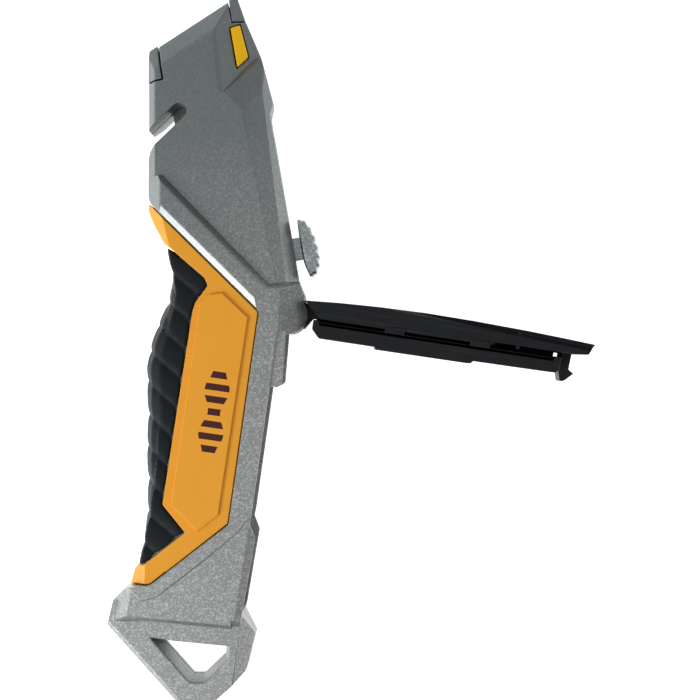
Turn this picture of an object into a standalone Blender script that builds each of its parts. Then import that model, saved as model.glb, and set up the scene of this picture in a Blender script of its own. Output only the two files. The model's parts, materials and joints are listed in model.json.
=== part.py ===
"""Retractable utility knife with a die-cast body and a swing-out magazine for spare blades.

The knife lies on its right side. +Z is up and is the outward direction of the left side, +Y is the
way the blade slides out, and +X is the spine, where the thumb slider sits. The origin is on the face
that the knife rests on, with x = 0 on the blade's centreline and y = 0 level with the magazine's
hinge. Lengths below are millimetres and become metres when a mesh is made. A height called w is
measured from the plane where the two shells meet.
"""

import math

import bmesh
import bpy
from mathutils import Matrix, Vector

MM = 0.001

# Driving dimensions
HALF_THICKNESS = 12.0
SEAM = 0.15  # half the gap between the two shells
GAP = 0.3  # clearance between touching pieces
HEAD_TOP = 9.0
LAND_TOP = HALF_THICKNESS
TAIL_TOP = 11.5
LOOP_TOP = 7.5
GRIP_FLOOR = 8.3
FRAME_TOP = 11.2
RUBBER_TOP = 10.8
STEP_FALL = 2.0  # how steeply the raised land drops to the head
PLAY = 1.0  # how far a cutter reaches past the joint plane
BEYOND = 20.0  # a height above everything on the knife

# Trapezoid blade, cutting edge towards -X
BLADE_EDGE = 61.0
BLADE_BACK = 33.0
BLADE_WIDTH = 19.0
BLADE_THICKNESS = 0.6
BLADE_GRIND = 2.4  # width of the ground edge
BLADE_LAND = 0.12  # thickness left at the very edge
BLADE_ROOM = 10.1  # half the width of the channel it slides in
BLADE_CENTRE_Y = 43.0
NOTCH_WIDTH = 3.6
NOTCH_DEPTH = 3.0
TOOTH_WIDTH = 2.7
BLADE_TRAVEL = 27.0

# Magazine
HINGE = (11.6, 0.0)
OPEN_ANGLE = -18.65  # direction of the open magazine, degrees from +X
CLOSE_ANGLE = -90.0
PIN_RADIUS = 1.25
PIN_HALF_LENGTH = 7.2
BARREL_RADIUS = 4.6
BARREL_HALF_LENGTH = 5.0
COVER_HALF_WIDTH = 10.6
COVER_WALL = 1.1
TRAY_HALF_WIDTH = 10.2
TRAY_WALL = 0.55
TRAY_FLOOR = -4.15
WELL_HALF_WIDTH = 10.5
SPARE_BLADES = 4
SPARE_PITCH = 0.85
SPARE_TOP = -0.9

# Body screws, from the right side into the left shell
SCREWS = [(-14.0, 44.6), (-24.0, -69.0), (5.2, 5.6)]
SCREW_SHANK = 1.0
SCREW_HEAD = 2.2
SCREW_HEAD_HEIGHT = 1.6
SCREW_SOCKET = 1.1
SCREW_TIP = 5.0
SCREW_SEATS = (6.0, 8.0, 8.5)  # depth of each head's seat below the joint plane

# Thumb slider, which runs in channels of the right shell
CARRIER_LOW = -3.9
CARRIER_HIGH = -0.6
CARRIER_PLAN = (-5.0, 9.3, 10.0, 46.0)  # x and y limits
ARM_PLAN = (9.2, 14.6, 11.0, 24.0)
ARM_HALF_WIDTH = 3.3
SLIDE_ROOM = 0.4  # clearance round the sliding pieces
STRIP_PLAN = (0.0, 4.0, 14.0, 66.0)
STRIP_LOW = -4.6
STRIP_THICKNESS = 0.3
NECK_LOW = 13.8
NECK_HIGH = 19.7
NECK_HALF_WIDTH = 2.0
KNOB_HALF_WIDTH = 5.2

BODY = Matrix.Translation((0, 0, HALF_THICKNESS))
HINGE_PLACE = Matrix.Translation((*HINGE, HALF_THICKNESS))
OPEN = HINGE_PLACE @ Matrix.Rotation(math.radians(OPEN_ANGLE), 4, "Z")
CLOSED = HINGE_PLACE @ Matrix.Rotation(math.radians(OPEN_ANGLE + CLOSE_ANGLE), 4, "Z")

# Outlines, as (x, y)
FRONT_LEFT = (-9.3, 75.2)
FRONT_RIGHT = (10.1, 83.4)
HEAD_OUTLINE = [
    (-11.9, 77.3), (-14.0, 65.8), (-19.0, 36.6), (-15.0, 20.0), (4.0, 6.0),
    (4.0, 50.0), (12.0, 56.0), (17.0, 60.0), (16.3, 68.3), (14.0, 77.9), (12.3, 88.0),
]  # fmt: skip
SPINE_OUTLINE = [
    (2.0, 7.0), (15.9, 7.0), (16.0, 52.5), (17.4, 55.3), (16.3, 68.3),
    (13.6, 67.1), (7.1, 62.6), (4.6, 61.5), (2.0, 59.5),
]  # fmt: skip
UPPER_LAND_OUTLINE = [
    (-14.0, 41.3), (-18.2, 41.3), (-19.0, 36.6), (-19.0, 30.0), (-16.0, 10.0), (-2.0, -2.0),
    (8.0, -2.0), (8.0, 9.0),
]  # fmt: skip
LOWER_LAND_OUTLINE = [
    (-16.0, 12.0), (-28.0, -12.0), (-37.5, -56.0), (-41.5, -62.3), (-38.5, -66.5), (-34.5, -66.4),
    (-21.4, -59.5), (-11.2, -53.8), (-6.7, -50.0), (5.4, -13.0), (8.4, -3.9), (8.0, -0.5),
]  # fmt: skip
EAR_OUTLINE = [
    (4.0, 9.0), (4.0, -2.0), (8.2, -4.3), (9.8, -5.0), (11.6, -5.3), (13.6, -4.9), (15.3, -3.8),
    (16.5, -2.0), (16.9, 0.0), (16.45, 2.2), (16.9, 4.0), (16.5, 5.7), (16.0, 8.0),
]  # fmt: skip
TRIANGLE_OUTLINE = [
    (-6.7, -50.0), (-20.0, -50.0), (-38.0, -60.0), (-41.5, -62.3), (-46.3, -65.5), (-49.0, -71.2),
    (-45.2, -71.6), (-39.5, -72.2), (-17.2, -78.4), (-16.7, -75.8),
]  # fmt: skip
LOOP_OUTLINE = [
    (-30.0, -65.0), (-46.3, -65.5), (-49.1, -71.8), (-34.9, -94.7), (-31.5, -96.2),
    (-26.0, -97.1), (-20.0, -93.4), (-15.3, -90.1), (-11.4, -81.2), (-13.9, -75.1), (-16.0, -70.0),
]  # fmt: skip
HOLE_OUTLINE = [
    (-38.8, -76.7), (-30.4, -90.4), (-26.7, -91.1), (-19.5, -86.3), (-18.4, -82.7), (-35.0, -78.1),
]  # fmt: skip
HOLE_TAPER = 1.4

# Grips: the plastic frame's outer edge, its inner edge along the rubber, and the belly of the hand
FRAME_OUTER = [(-35.6, -62.6), (-13.0, -50.7), (4.2, 1.9)]
RECESS_OUTLINE = [(-60.0, -61.36), *FRAME_OUTER, (-24.6, 42.5), (-60.0, 42.5)]
FRAME_INNER = [
    (-16.9, 23.7), (-15.5, 22.3), (-7.9, 13.0), (-7.4, 10.8), (-11.4, 7.0), (-12.5, 4.8),
    (-28.8, -43.0), (-24.3, -51.2), (-36.4, -57.6), (-39.3, -58.2),
]  # fmt: skip
# The frame's two ends wrap over the belly; its flat plate lies between them
FRAME_UPPER_END = [
    (-19.2, 34.9), (-19.8, 33.1), (-18.9, 29.2), (-16.9, 23.7), (-15.5, 22.3), (-13.0, 19.24), (-12.0, 24.8),
]  # fmt: skip
FRAME_LOWER_END = [
    (-41.5, -62.3), (-35.6, -62.6), (-31.0, -60.18), (-31.0, -54.74), (-36.4, -57.6), (-39.3, -58.2),
]  # fmt: skip
FRAME_PLATE_ENDS = [(-14.6, 28.41), (-15.0, 21.69)], [(-33.0, -55.8), (-33.0, -61.23)]
RUBBER_BELLY = [
    (-38.3, -57.6), (-35.7, -50.8), (-33.8, -43.9), (-32.4, -36.8), (-31.2, -28.1), (-29.4, -19.8),
    (-28.2, -11.4), (-27.4, -6.9), (-25.4, -1.6), (-22.4, 3.8), (-19.0, 8.6), (-16.7, 14.2),
    (-16.7, 22.6),
]  # fmt: skip
LABEL_OUTLINE = [
    (-7.5, 8.5), (-10.1, 6.9), (-26.6, -43.5), (-21.2, -51.4), (-15.0, -48.2), (1.5, 0.9),
    (-4.0, 8.3),
]  # fmt: skip
# The metal core that stays under the grips, between the belly side and the far corners
CORE_OUTLINE = [
    (-17.2, 32.0), (-14.2, 24.2), (-13.6, 15.0), (-15.8, 9.8), (-19.2, 4.8), (-22.2, -0.6),
    (-24.2, -7.0), (-26.2, -19.4), (-29.2, -36.2), (-32.4, -49.8), (-34.8, -56.5), (-37.0, -64.0),
    (-10.0, -56.0), (8.0, 2.0), (-16.5, 36.5),
]  # fmt: skip
CAVITY_OUTLINE = [
    (1.0, 7.6), (-12.0, 9.6), (-14.5, 7.0), (-24.0, -14.0), (-28.0, -37.0), (-32.5, -57.0),
    (-22.0, -54.0), (-14.0, -48.0), (2.0, 0.0),
]  # fmt: skip
CAVITY_TOP = 6.3

# String cutter: a slot with a round end, from inside the head out through the belly
CUTTER_INNER = (-7.0, 57.2)
CUTTER_OUTER = (-19.0, 49.2)
CUTTER_RADIUS = 2.0
FAR_CUTTER_RADIUS = 1.45  # the right shell's slot is narrower, so that it backs the string
LIP_RADIUS = 6.5  # rounds the corner where the slot's lower wall meets the belly
LIP_OVERLAP = 0.06  # how far the arc's ends lie outside those two walls

# Release button on the sloping side of the head
BUTTON_OUTLINE = [(9.8, 76.5), (9.8, 66.1), (13.0, 68.5), (12.3, 77.1)]
BUTTON_BOTTOM = 2.9
BUTTON_FLOOR = 1.2

# Closed-magazine coordinates: a runs from the hinge to the tail, b points out of the spine
WELL_OUTLINE = [
    (5.0, 8.0), (5.0, -1.0), (8.0, -6.3), (70.5, -6.3), (71.2, -7.3), (79.0, -7.3), (79.0, 8.0),
]  # fmt: skip
BUMP_OUTLINE = [
    (50.0, -9.0), (84.0, -9.0), (84.0, 0.0), (79.3, 0.1), (58.6, 0.5), (55.0, -1.6), (50.0, -1.6),
]  # fmt: skip
CHEEK_OUTLINE = [(4.3, -4.0), (4.3, 0.3), (5.0, 0.5), (18.2, 1.4), (19.2, 0.4), (19.2, -4.0)]
CHEEK_TOP = 11.4
COVER_REST = -0.35  # where the closed cover's edge lies, less its clearance

# Open-magazine coordinates: a runs along the arm, b points to its outer face
COVER_OUTER = [
    (4.0, 4.2), (8.6, 0.0), (53.5, 0.0), (54.6, 0.85), (76.0, 0.9), (78.9, 1.3), (80.3, 4.15),
    (72.4, 4.6), (62.0, 5.1), (48.0, 5.55), (35.0, 5.7), (24.0, 5.45), (13.0, 4.9),
]  # fmt: skip
COVER_INNER = [
    (9.5, -2.0), (77.0, -2.0), (77.0, 3.1), (62.0, 3.9), (48.0, 4.35), (35.0, 4.5), (24.0, 4.25),
    (13.0, 3.7), (9.5, 3.2),
]  # fmt: skip
COVER_ROOT = [
    (1.0, -4.0), (4.8, -3.0), (6.5, -0.1), (9.2, 0.4), (10.4, 0.6), (10.4, 3.5), (5.2, 3.6), (1.0, 4.3),
]  # fmt: skip
COVER_CHAMFER = 1.6
COVER_RIBS = [20.0, 40.0, 60.0]
COVER_RIB_TOP = 4.6
COVER_RIB_THICKNESS = 1.0
CLIPS = [(25.6, 30.8), (48.0, 53.0)]
CLIP_BAND = (-1.0, 0.8)
CLIP_REACH = 10.9
HOOK_OUTLINE = [
    (72.6, 4.0), (72.6, -4.2), (73.3, -6.6), (74.4, -6.4), (76.7, -4.1), (75.2, -3.2), (75.6, 4.0),
]  # fmt: skip
HOOK_HALF_WIDTH = 4.0
TRAY_OUTLINE = [
    (6.9, -0.4), (6.9, -2.9), (8.9, -5.0), (23.7, -5.0), (23.9, -5.7), (48.8, -5.6), (49.6, -4.8),
    (71.0, -4.6), (72.0, -3.6), (72.0, -0.4),
]  # fmt: skip
TRAY_CAVITY = (8.6, 70.2)
TRAY_SLOT_LIP = -1.6
LEAF_POCKET = (25.0, 47.6)
LEAF_FLOOR = -5.0


# Materials


def material(name, colour, roughness, metallic):
    made = bpy.data.materials.new(name)
    made.use_nodes = True
    shader = made.node_tree.nodes["Principled BSDF"]
    shader.inputs["Base Color"].default_value = (*colour, 1.0)
    shader.inputs["Roughness"].default_value = roughness
    shader.inputs["Metallic"].default_value = metallic
    return made


# Outlines and solids


def inset(outline, widths):
    """Moves each edge of an outline inwards by its own width."""
    count = len(outline)
    area = sum(Vector(outline[i - 1]).cross(Vector(outline[i])) for i in range(count))
    side = math.copysign(1.0, area)
    lines = []
    for index in range(count):
        start = Vector(outline[index])
        along = (Vector(outline[(index + 1) % count]) - start).normalized()
        inward = Vector((-along.y, along.x)) * side
        lines.append((start + inward * widths[index], along))
    corners = []
    for index in range(count):
        (point, along), (other, across) = lines[index - 1], lines[index]
        turn = along.cross(across)
        if abs(turn) < 1e-3:
            corners.append(other)
        else:
            corners.append(point + along * ((other - point).cross(across) / turn))
    return corners


def grow(outline, width):
    return inset(outline, [-width] * len(outline))


def circle(centre, radius, count=24):
    turns = [2 * math.pi * index / count for index in range(count)]
    return [(centre[0] + radius * math.cos(t), centre[1] + radius * math.sin(t)) for t in turns]


def stadium(start, end, radius, count=8):
    """A slot outline: two half circles joined by straight sides."""
    heading = math.atan2(end[1] - start[1], end[0] - start[0])
    points = []
    for centre, facing in ((end, heading), (start, heading + math.pi)):
        for index in range(count + 1):
            turn = facing - math.pi / 2 + math.pi * index / count
            points.append((centre[0] + radius * math.cos(turn), centre[1] + radius * math.sin(turn)))
    return points


def rectangle(x_low, x_high, y_low, y_high):
    return [(x_low, y_low), (x_high, y_low), (x_high, y_high), (x_low, y_high)]


def channel(plan, travel=0.0):
    """The plan of a pocket in which a piece slides by a travel."""
    x_low, x_high, y_low, y_high = plan
    return rectangle(x_low - SLIDE_ROOM, x_high + SLIDE_ROOM, y_low - SLIDE_ROOM, y_high + travel + SLIDE_ROOM)


def new_object(name, bm, place):
    bmesh.ops.recalc_face_normals(bm, faces=bm.faces)
    mesh = bpy.data.meshes.new(name)
    bm.to_mesh(mesh)
    bm.free()
    made = bpy.data.objects.new(name, mesh)
    bpy.context.scene.collection.objects.link(made)
    made.location = place.to_translation() * MM
    made.rotation_euler = place.to_euler()
    return made


def prism(name, outline, low, high, place=BODY):
    """Extrudes an outline from one height to another."""
    bm = bmesh.new()
    floor = bm.faces.new([bm.verts.new((x * MM, y * MM, low * MM)) for x, y in outline])
    lifted = bmesh.ops.extrude_face_region(bm, geom=[floor])["geom"]
    lifted_verts = [item for item in lifted if isinstance(item, bmesh.types.BMVert)]
    bmesh.ops.translate(bm, verts=lifted_verts, vec=(0, 0, (high - low) * MM))
    return new_object(name, bm, place)


def loft(name, sections, place=BODY):
    """Joins outlines of equal length, each at its own height, into one solid."""
    bm = bmesh.new()
    rings = [[bm.verts.new((x * MM, y * MM, w * MM)) for x, y in outline] for w, outline in sections]
    bm.faces.new(rings[0])
    bm.faces.new(rings[-1])
    count = len(rings[0])
    for low, high in zip(rings, rings[1:]):
        for index in range(count):
            after = (index + 1) % count
            bm.faces.new((low[index], low[after], high[after], high[index]))
    return new_object(name, bm, place)


def slope(start, end, height, fall):
    """Three points of a plane that drops to the right of the crease from start to end."""
    along = (Vector(end) - Vector(start)).normalized()
    aside = Vector(start) + Vector((along.y, -along.x))
    return (*start, height), (*end, height), (aside.x, aside.y, height - fall)


def shave(target, first, second, third):
    """Cuts away what lies above the plane through three points."""
    points = [Vector(point) * MM for point in (first, second, third)]
    normal = (points[1] - points[0]).cross(points[2] - points[0]).normalized()
    if normal.z < 0:
        normal.negate()
    bm = bmesh.new()
    bm.from_mesh(target.data)
    everything = bm.verts[:] + bm.edges[:] + bm.faces[:]
    bmesh.ops.bisect_plane(
        bm, geom=everything, dist=1e-7, plane_co=points[0], plane_no=normal, clear_outer=True
    )
    rim = [edge for edge in bm.edges if len(edge.link_faces) == 1]
    bmesh.ops.holes_fill(bm, edges=rim)
    bmesh.ops.recalc_face_normals(bm, faces=bm.faces)
    bm.to_mesh(target.data)
    bm.free()
    return target


def combine(target, tool, operation):
    """Joins, cuts or intersects with another solid, which is used up."""
    modifier = target.modifiers.new(operation.lower(), "BOOLEAN")
    modifier.operation = operation
    modifier.solver = "EXACT"
    modifier.object = tool
    bpy.context.view_layer.update()
    shaped = bpy.data.meshes.new_from_object(target.evaluated_get(bpy.context.evaluated_depsgraph_get()))
    target.modifiers.clear()
    old = target.data
    target.data = shaped
    bpy.data.meshes.remove(old)
    bpy.data.objects.remove(tool)
    return target


def unite(target, *tools):
    for tool in tools:
        combine(target, tool, "UNION")
    return target


def cut(target, *tools):
    for tool in tools:
        combine(target, tool, "DIFFERENCE")
    return target


def mirrored(source, name):
    """The same solid on the other side of the joint plane."""
    bm = bmesh.new()
    bm.from_mesh(source.data)
    bmesh.ops.scale(bm, vec=(1, 1, -1), verts=bm.verts)
    bmesh.ops.reverse_faces(bm, faces=bm.faces)
    return new_object(name, bm, BODY)


def finish(part, name, surface, collection):
    part.name = name
    part.data.name = name
    part.data.materials.clear()
    part.data.materials.append(surface)
    bpy.context.scene.collection.objects.unlink(part)
    collection.objects.link(part)
    return part


# Shells


def head_facets(block):
    """The sloping front, the broad facet beside the release button and the belly edge."""
    shave(block, *slope((-2.9, 72.3), (5.4, 75.9), HEAD_TOP, -0.686))
    shave(block, *slope((5.4, 75.9), (4.6, 61.5), HEAD_TOP, -0.6))
    shave(block, *slope((-17.1, 36.2), (-9.9, 77.0), HEAD_TOP, -1.4))
    return block


def half_shell():
    """The outside of one shell above the joint plane, without its pockets."""
    head = head_facets(prism("head", HEAD_OUTLINE, SEAM, HEAD_TOP))

    spine = prism("spine", SPINE_OUTLINE, SEAM, HEAD_TOP)
    shave(spine, *slope((9.2, 54.1), (4.6, 61.5), HEAD_TOP, 0.35))
    shave(spine, *slope((10.0, 17.7), (9.2, 54.1), HEAD_TOP, 0.45))
    shave(spine, (14.34, 66.03, 5.27), (7.84, 61.53, 8.03), (13.6, 67.1, 4.1))
    shave(spine, (13.0, 15.9, 7.65), (13.7, 30.3, 7.2), (16.0, 16.0, 4.2))

    upper_land = prism("upper_land", UPPER_LAND_OUTLINE, SEAM, LAND_TOP)
    shave(upper_land, *slope((6.8, 8.0), (-15.2, 40.3), LAND_TOP, STEP_FALL))
    shave(upper_land, *slope((-16.5, 30.0), (-14.5, 41.0), LAND_TOP, -1.4))
    shave(upper_land, *slope((-22.97, 43.66), (5.83, 3.06), LAND_TOP, 0.45))
    lower_land = prism("lower_land", LOWER_LAND_OUTLINE, SEAM, LAND_TOP)

    ear = prism("ear", EAR_OUTLINE, SEAM, LAND_TOP)
    shave(ear, *slope((8.4, -3.9), (11.4, 8.1), LAND_TOP, 0.69))
    shave(ear, *slope((11.0, 6.7), (7.6, 7.6), LAND_TOP, STEP_FALL))

    triangle = prism("triangle", TRIANGLE_OUTLINE, SEAM, TAIL_TOP)
    shave(triangle, *slope((-39.5, -70.6), (-17.2, -76.8), TAIL_TOP, 1.8))
    shave(triangle, *slope((-40.0, -62.0), (-43.5, -70.5), TAIL_TOP, 1.2))

    bump = prism("bump", BUMP_OUTLINE, SEAM, TAIL_TOP, CLOSED)
    shave(bump, *slope((80.0, -1.6), (50.0, -1.6), TAIL_TOP, 0.25))
    shave(bump, *slope((80.3, 1.0), (81.0, -9.0), TAIL_TOP, -1.8))

    loop = prism("loop", LOOP_OUTLINE, SEAM, LOOP_TOP)
    shave(loop, *slope((-19.4, -92.4), (-15.4, -80.2), LOOP_TOP, 1.0))
    shave(loop, *slope((-34.0, -94.0), (-47.8, -72.0), LOOP_TOP, -1.0))

    cheek = prism("cheek", CHEEK_OUTLINE, SEAM, CHEEK_TOP, CLOSED)
    cover_room = rectangle(0.0, 30.0, COVER_REST, 9.0)
    cut(cheek, prism("cover_room", cover_room, -PLAY, COVER_HALF_WIDTH + GAP, CLOSED))

    return unite(head, spine, upper_land, lower_land, ear, triangle, loop, bump, cheek)


def cutter_axis(radius):
    """The string cutter slot's centreline, placed so that its upper wall stays where it is."""
    inner, outer = Vector(CUTTER_INNER), Vector(CUTTER_OUTER)
    inward = (inner - outer).normalized()
    rise = Vector((-inward.y, inward.x)) * (CUTTER_RADIUS - radius)
    return inner + rise, outer + rise


def lip_corner(radius):
    """What a round lip leaves out of the corner between the cutter slot's lower wall and the belly."""
    inner, outer = cutter_axis(radius)
    inward = (inner - outer).normalized()
    wall = outer + Vector((inward.y, -inward.x)) * radius
    top, bottom = Vector(HEAD_OUTLINE[1]), Vector(HEAD_OUTLINE[2])
    down = (bottom - top).normalized()
    corner = wall + inward * ((top - wall).cross(down) / inward.cross(down))
    half_angle = inward.angle(down) / 2
    bisector = (inward + down).normalized()
    centre = corner + bisector * (LIP_RADIUS / math.sin(half_angle) - LIP_OVERLAP)
    facing = math.atan2(-bisector.y, -bisector.x)
    spread = math.pi / 2 - half_angle
    turns = [facing + spread * (index / 4 - 1) for index in range(9)]
    arc = [centre + Vector((math.cos(turn), math.sin(turn))) * LIP_RADIUS for turn in turns]
    return [*arc, corner - bisector]


def half_pockets(shell, slot_radius):
    """Cuts that both shells share, though each has its own width of string cutter slot."""
    narrow, wide = inset(HOLE_OUTLINE, [HOLE_TAPER] * len(HOLE_OUTLINE)), grow(HOLE_OUTLINE, 0.1)
    cut(shell, loft("hole", [(-PLAY, narrow), (LOOP_TOP + 1, wide)]))
    cutter_slot = stadium(*cutter_axis(slot_radius), slot_radius)
    cut(shell, prism("string_cutter", cutter_slot, -PLAY, BEYOND))
    cut(shell, prism("lip_corner", lip_corner(slot_radius), -PLAY, BEYOND))
    recess = prism("recess", grow(RECESS_OUTLINE, GAP), -PLAY, BEYOND)
    cut(recess, prism("core", CORE_OUTLINE, -2 * PLAY, GRIP_FLOOR))
    cut(shell, recess)
    cut(shell, prism("well", WELL_OUTLINE, -PLAY, WELL_HALF_WIDTH, CLOSED))
    pocket = circle((0, 0), BARREL_RADIUS + 1.4)
    cut(shell, prism("hinge_pocket", pocket, -PLAY, BARREL_HALF_LENGTH + GAP, CLOSED))
    pin_hole = circle((0, 0), PIN_RADIUS + GAP)
    cut(shell, prism("pin_hole", pin_hole, -PLAY, PIN_HALF_LENGTH + GAP, CLOSED))
    cut(shell, prism("cavity", CAVITY_OUTLINE, -PLAY, CAVITY_TOP))
    blade_room = rectangle(-BLADE_ROOM, BLADE_ROOM, 11.5, 110)
    cut(shell, prism("blade_channel", blade_room, -PLAY, BLADE_THICKNESS / 2 + 0.4))
    cut(shell, prism("arm_channel", channel(ARM_PLAN, BLADE_TRAVEL), -PLAY, ARM_HALF_WIDTH + GAP))
    slot = rectangle(12.0, 25.0, NECK_LOW - GAP, NECK_HIGH + BLADE_TRAVEL + GAP)
    cut(shell, prism("spine_slot", slot, -PLAY, NECK_HALF_WIDTH + GAP))
    return shell


CLAWS = {
    "left": [(-9.95, 90.0), (-20.0, 90.0), (-20.0, 66.1), (-9.95, 66.1)],
    "right": [(10.55, 90.0), (10.55, 78.1), (20.0, 78.1), (20.0, 90.0)],
}
CLAW_REACH = 0.6  # how far the claws stand ahead of the front face
CLAW_ROOT = -3.0  # where they join the right shell


def ahead(distance):
    """A big outline that covers everything in front of the nose by more than a distance."""
    along = (Vector(FRONT_RIGHT) - Vector(FRONT_LEFT)).normalized()
    out = Vector((-along.y, along.x))
    low, high = Vector(FRONT_LEFT) + out * distance, Vector(FRONT_LEFT) + out * (distance + 40)
    return [low - along * 40, low + along * 60, high + along * 60, high - along * 40]


def claw(side):
    """A hook of the right shell that holds the nose of the left shell."""
    made = head_facets(prism("claw", HEAD_OUTLINE, CLAW_ROOT, HEAD_TOP))
    combine(made, prism("claw_region", CLAWS[side], CLAW_ROOT - PLAY, BEYOND), "INTERSECT")
    return cut(made, prism("claw_front", ahead(CLAW_REACH), CLAW_ROOT - PLAY, BEYOND))


def left_shell():
    shell = half_pockets(half_shell(), CUTTER_RADIUS)
    cut(shell, prism("nose", ahead(0), -PLAY, BEYOND))
    for outline in CLAWS.values():
        cut(shell, prism("claw_notch", grow(outline, GAP), -PLAY, BEYOND))
    cut(shell, prism("button_pocket", grow(BUTTON_OUTLINE, GAP), BUTTON_FLOOR, BEYOND))
    for place in SCREWS:
        cut(shell, prism("thread", circle(place, SCREW_SHANK + GAP, 16), -PLAY, SCREW_TIP + GAP))
    return shell


def right_shell():
    shell = half_pockets(half_shell(), FAR_CUTTER_RADIUS)
    cut(shell, prism("nose", ahead(0), -PLAY, BEYOND))
    cut(shell, prism("carrier_channel", channel(CARRIER_PLAN, BLADE_TRAVEL), -PLAY, GAP - CARRIER_LOW))
    cut(shell, prism("strip_groove", channel(STRIP_PLAN), -PLAY, GAP - STRIP_LOW))
    for place, seat in zip(SCREWS, SCREW_SEATS):
        cut(shell, prism("shank_hole", circle(place, SCREW_SHANK + GAP, 16), -PLAY, BEYOND))
        cut(shell, prism("head_hole", circle(place, SCREW_HEAD + GAP, 20), seat, BEYOND))
    made = mirrored(shell, "right_shell")
    bpy.data.objects.remove(shell)
    return unite(made, claw("left"), claw("right"))


def screw(place, seat):
    under_head = -seat - GAP
    top = under_head - SCREW_HEAD_HEIGHT
    made = prism("screw", circle(place, SCREW_HEAD, 20), top, under_head)
    unite(made, prism("shank", circle(place, SCREW_SHANK, 12), (top + under_head) / 2, SCREW_TIP))
    return cut(made, prism("socket", circle(place, SCREW_SOCKET, 6), top - PLAY, top + 0.9))


# Grips


def grip_frame():
    """The plastic inlay of one side, with its raised label panel."""
    upper, lower = FRAME_PLATE_ENDS
    made = prism("plate", [*FRAME_OUTER[1:], *upper, *FRAME_INNER[2:-2], *lower], SEAM, FRAME_TOP)
    upper_end = prism("upper_end", FRAME_UPPER_END, SEAM, FRAME_TOP)
    shave(upper_end, *slope((-16.3, 35.0), (-15.3, 20.0), FRAME_TOP, 1.5))
    lower_end = prism("lower_end", FRAME_LOWER_END, SEAM, FRAME_TOP)
    shave(lower_end, *slope((-35.6, -56.0), (-37.2, -63.5), FRAME_TOP, 1.5))
    unite(made, upper_end, lower_end)
    cut(made, prism("core", grow(CORE_OUTLINE, GAP), -PLAY, GRIP_FLOOR + GAP))
    return unite(made, prism("label", LABEL_OUTLINE, FRAME_TOP - 0.5, LAND_TOP))


def rubber_grip():
    """The soft insert of one side, rounded towards the belly of the hand."""
    seams = len(FRAME_INNER) - 1
    widths = [GAP] * seams + [0.0] * (1 + len(RUBBER_BELLY))
    inner = inset([*FRAME_INNER, *RUBBER_BELLY], widths)[1:seams]
    outline = [*inner, *RUBBER_BELLY]
    round_edges = len(RUBBER_BELLY) - 1
    taper = [min(1.0, 0.2 + 0.4 * min(index, round_edges - 1 - index)) for index in range(round_edges)]
    levels = [(SEAM, 0.0), (4.5, 0.0), (8.6, 1.6), (RUBBER_TOP, 4.2)]
    sections = []
    for w, width in levels:
        sections.append((w, inset(outline, [0.0] * len(inner) + [width * share for share in taper] + [0.0])))
    made = loft("rubber", sections)
    return cut(made, prism("core", grow(CORE_OUTLINE, GAP), -PLAY, GRIP_FLOOR + GAP))


# Blades and slider


def blade_outline(edge, centre):
    """Trapezoid with two notches in its back; the cutting edge is at -x."""
    half = BLADE_WIDTH / 2
    inner = half - NOTCH_DEPTH
    near = TOOTH_WIDTH / 2
    far = near + NOTCH_WIDTH
    steps = [(half, far), (inner, far), (inner, near), (half, near)]
    lower = [(x, centre - y) for x, y in steps]
    upper = [(x, centre + y) for x, y in reversed(steps)]
    back = BLADE_BACK / 2
    tail = [(-half, centre - edge / 2), (half, centre - back)]
    nose = [(half, centre + back), (-half, centre + edge / 2)]
    return [*tail, *lower, *upper, *nose]


def blade(name, centre, place):
    """A blade lying flat, ground on both faces along its cutting edge."""
    made = prism(name, blade_outline(BLADE_EDGE, centre), -BLADE_THICKNESS / 2, BLADE_THICKNESS / 2, place)
    edge = -BLADE_WIDTH / 2
    fall = (BLADE_THICKNESS - BLADE_LAND) / 2 / BLADE_GRIND
    for _ in range(2):
        shave(made, *slope((edge + BLADE_GRIND, 0), (edge + BLADE_GRIND, 1), BLADE_THICKNESS / 2, -fall))
        bm = bmesh.new()
        bm.from_mesh(made.data)
        bmesh.ops.scale(bm, vec=(1, 1, -1), verts=bm.verts)
        bmesh.ops.reverse_faces(bm, faces=bm.faces)
        bm.to_mesh(made.data)
        bm.free()
    return made


def blade_carrier():
    made = prism("carrier", rectangle(*CARRIER_PLAN), CARRIER_LOW, CARRIER_HIGH)
    unite(made, prism("arm", rectangle(*ARM_PLAN), -ARM_HALF_WIDTH, ARM_HALF_WIDTH))
    socket = rectangle(10.2, 16.0, NECK_LOW - GAP, NECK_HIGH + GAP)
    cut(made, prism("socket", socket, -NECK_HALF_WIDTH - 0.4, NECK_HALF_WIDTH + 0.4))
    lug_low = BLADE_CENTRE_Y - TOOTH_WIDTH / 2 - NOTCH_WIDTH + GAP
    lug = rectangle(6.8, 8.8, lug_low, lug_low + NOTCH_WIDTH - 2 * GAP)
    return unite(made, prism("lug", lug, CARRIER_HIGH - 0.2, 0.2))


def thumb_knob():
    outline = [
        (18.0, 20.0), (18.0, 14.0), (18.3, 11.5), (19.0, 8.9), (20.6, 9.2), (22.0, 11.5), (22.5, 14.5),
        (22.3, 18.0), (21.4, 21.5), (19.9, 24.0), (18.2, 24.2),
    ]  # fmt: skip
    made = prism("knob", outline, -KNOB_HALF_WIDTH, KNOB_HALF_WIDTH)
    neck = rectangle(12.2, 19.0, NECK_LOW, NECK_HIGH)
    return unite(made, prism("neck", neck, -NECK_HALF_WIDTH, NECK_HALF_WIDTH))


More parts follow.
